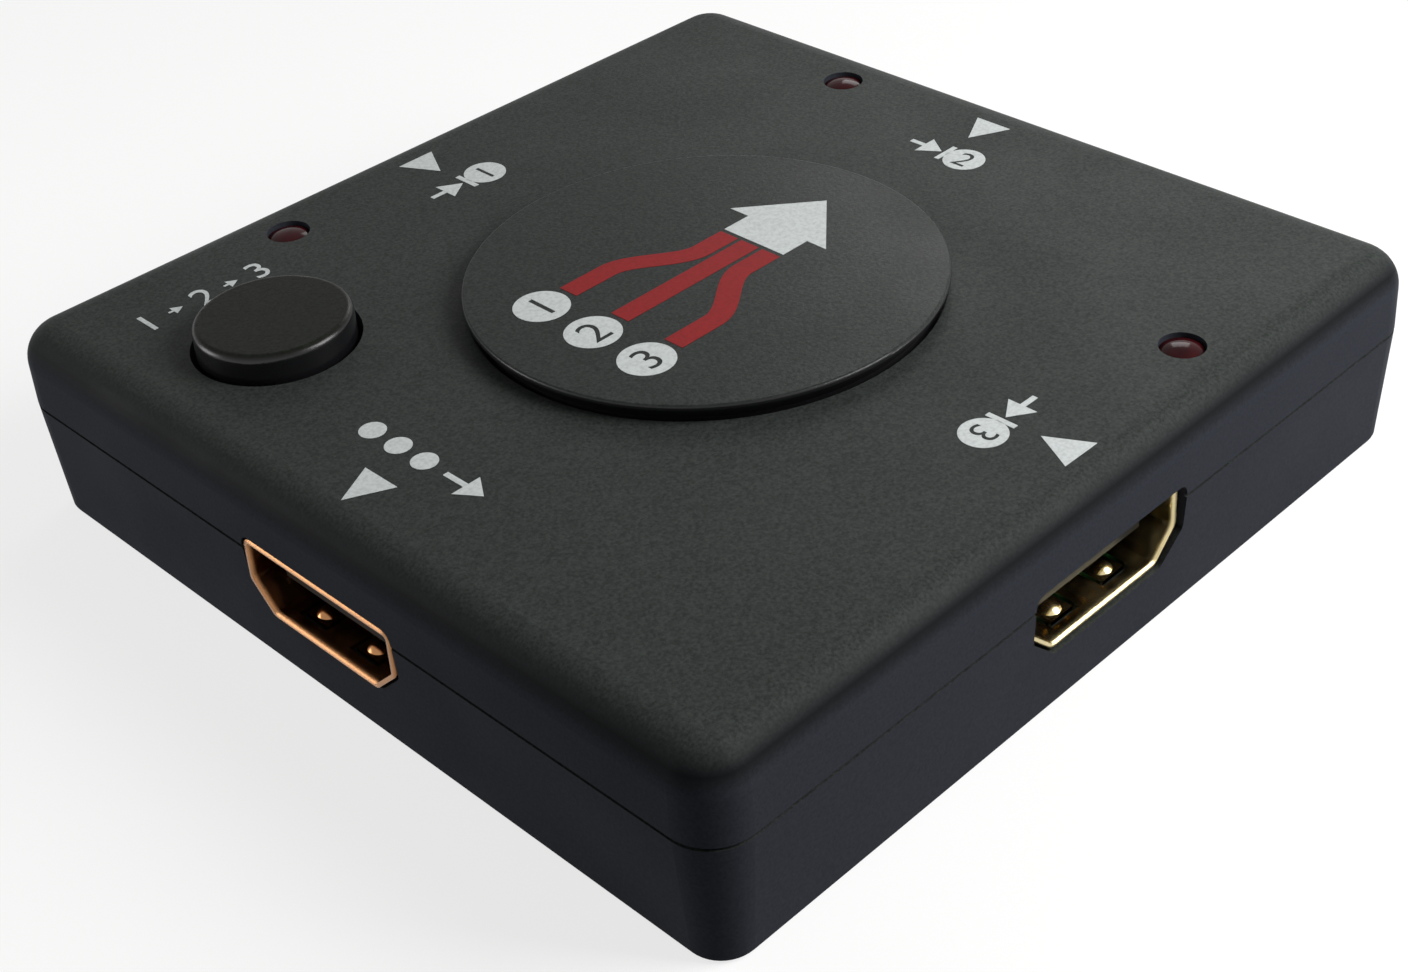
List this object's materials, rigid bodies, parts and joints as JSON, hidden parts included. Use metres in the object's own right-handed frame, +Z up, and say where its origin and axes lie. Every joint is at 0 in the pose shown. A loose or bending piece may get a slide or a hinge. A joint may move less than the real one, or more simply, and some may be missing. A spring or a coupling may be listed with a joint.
{
  "type": "video switch box",
  "caption": "Flat square video switch box: two-part moulded case with a receptacle in each side, raised round centre disc, round select button and a red lamp beside each input.",
  "frame": {"origin": "middle of the flat underside", "axes": "+Z up; -X is the output side; -Y is the third input's side, +X the second's and +Y the first's"},
  "size_m": [0.07, 0.07, 0.0173],
  "materials": {
    "case_plastic": "fine spark-eroded moulding",
    "disc_plastic": "fine matte moulding",
    "button_plastic": "fine matte moulding",
    "screw_steel": "zinc plated",
    "moulding": "moulded",
    "tinned_metal": "tinned",
    "board": "solder resist over glass laminate",
    "capacitor_ceramic": "fired",
    "resistor_ceramic": "glazed",
    "lamp_red": "tinted clear epoxy",
    "copper_gold_shell": "gold flash plated sheet",
    "pale_gold_shell": "gold flash plated sheet",
    "contact_gold": "gold plated"
  },
  "bodies": {
    "housing": {"upper_shell": "case_plastic", "lower_shell": "case_plastic", "case_screws": "screw_steel", "centre_disc": "disc_plastic", "switch_base": "moulding", "switch_legs": "tinned_metal", "switch_cover": "tinned_metal", "snap_dome": "tinned_metal", "circuit_board": "board", "switch_chip": "moulding", "switch_chip_leads": "tinned_metal", "control_chip": "moulding", "control_chip_leads": "tinned_metal", "capacitors": "capacitor_ceramic", "resistors": "resistor_ceramic", "end_terminals": "tinned_metal", "lamp_1": "lamp_red", "lamp_2": "lamp_red", "lamp_3": "lamp_red", "lamp_leads": "tinned_metal", "output_shell": "copper_gold_shell", "output_insulator": "moulding", "output_contacts": "contact_gold", "input_1_shell": "pale_gold_shell", "input_1_insulator": "moulding", "input_1_contacts": "contact_gold", "input_2_shell": "pale_gold_shell", "input_2_insulator": "moulding", "input_2_contacts": "contact_gold", "input_3_shell": "pale_gold_shell", "input_3_insulator": "moulding", "input_3_contacts": "contact_gold"},
    "button": {"select_button": "button_plastic"},
    "plunger": {"switch_plunger": "moulding"}
  },
  "joints": [
    {"name": "button_press", "type": "slide", "parent": "housing", "child": "button", "axis": [0, 0, -1], "range_m": [0, 0.0003], "stiffness_N_per_m": 400, "springref_m": -0.0003},
    {"name": "plunger_press", "type": "slide", "parent": "housing", "child": "plunger", "axis": [0, 0, -1], "range_m": [0, 0.0004], "deforming": ["snap_dome"]}
  ],
  "couplings": [
    {"joint": "plunger_press", "follows": "button_press", "ratio": 1}
  ]
}
